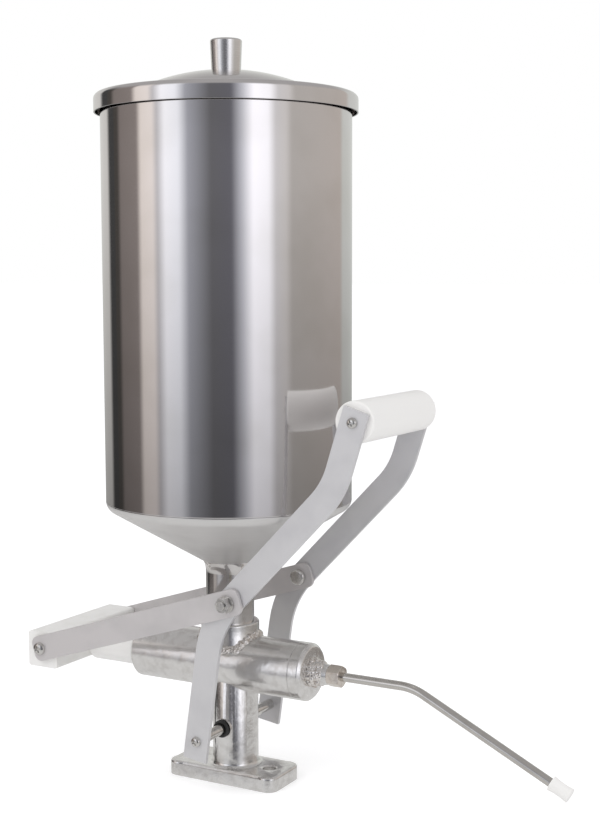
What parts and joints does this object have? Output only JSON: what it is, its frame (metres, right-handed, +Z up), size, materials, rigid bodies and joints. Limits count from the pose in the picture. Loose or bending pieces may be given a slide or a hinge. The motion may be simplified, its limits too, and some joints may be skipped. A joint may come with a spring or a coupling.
{
  "type": "churro filler",
  "caption": "Hand-lever filler for churros: steel hopper on a cast piston pump, bent lever plates with a white grip, link bars to a nylon piston, bent nozzle.",
  "frame": {"origin": "centre of the foot's underside, midway between its two mounting holes", "axes": "+X towards the nozzle, along the barrel; +Z up; -Y is the side with the near lever plate"},
  "size_m": [0.4138, 0.189, 0.5401],
  "materials": {
    "cast_aluminium": "polished sand casting",
    "mirror_steel": "mirror-polished stainless sheet",
    "bolt_steel": "bright plated steel",
    "tube_steel": "drawn stainless tube",
    "flat_bar": "satin brushed flat bar",
    "white_nylon": "turned white nylon",
    "black_rubber": "matt"
  },
  "bodies": {
    "pump": {"foot_column": "cast_aluminium", "pump_barrel": "cast_aluminium", "front_cap": "cast_aluminium", "inlet_socket": "cast_aluminium", "hopper_spout": "mirror_steel", "hopper_cone": "mirror_steel", "hopper_shell": "mirror_steel", "nozzle_nut": "bolt_steel", "nozzle_ferrule": "bolt_steel", "nozzle_tube": "tube_steel"},
    "lever": {"near_lever": "flat_bar", "far_lever": "flat_bar", "grip": "white_nylon", "grip_screws": "bolt_steel", "pivot_shaft": "bolt_steel", "pivot_screws": "bolt_steel", "pivot_rings": "black_rubber", "link_bolts": "bolt_steel", "link_washers": "bolt_steel", "link_nuts": "bolt_steel"},
    "links": {"near_link": "flat_bar", "far_link": "flat_bar"},
    "plunger": {"crosspiece": "white_nylon", "crosspiece_screws": "bolt_steel", "piston": "white_nylon", "piston_seals": "black_rubber"},
    "lid": {"lid_cover": "mirror_steel", "lid_knob": "mirror_steel", "lid_screw": "bolt_steel"},
    "tip": {"tip_cap": "white_nylon"}
  },
  "joints": [
    {"name": "lever_pull", "type": "hinge", "parent": "pump", "child": "lever", "pos_m": [0.002, 0, 0.0415], "axis": [0, 1, 0], "range_deg": [0, 24]},
    {"name": "link_swing", "type": "hinge", "parent": "lever", "child": "links", "pos_m": [0.03013, 0, 0.14539], "axis": [0, 1, 0], "range_deg": [-17.6, 0]},
    {"name": "plunger_slide", "type": "slide", "parent": "pump", "child": "plunger", "axis": [1, 0, 0], "range_m": [0, 0.0356]},
    {"name": "lid_lift", "type": "slide", "parent": "pump", "child": "lid", "axis": [0, 0, 1], "range_m": [0, 0.06]},
    {"name": "tip_pull", "type": "slide", "parent": "pump", "child": "tip", "axis": [0.8949, 0, -0.4462], "range_m": [0, 0.012]}
  ],
  "couplings": [
    {"joint": "link_swing", "follows": "lever_pull", "ratio": -0.73185},
    {"joint": "plunger_slide", "follows": "lever_pull", "m_per_rad": 0.08474}
  ]
}
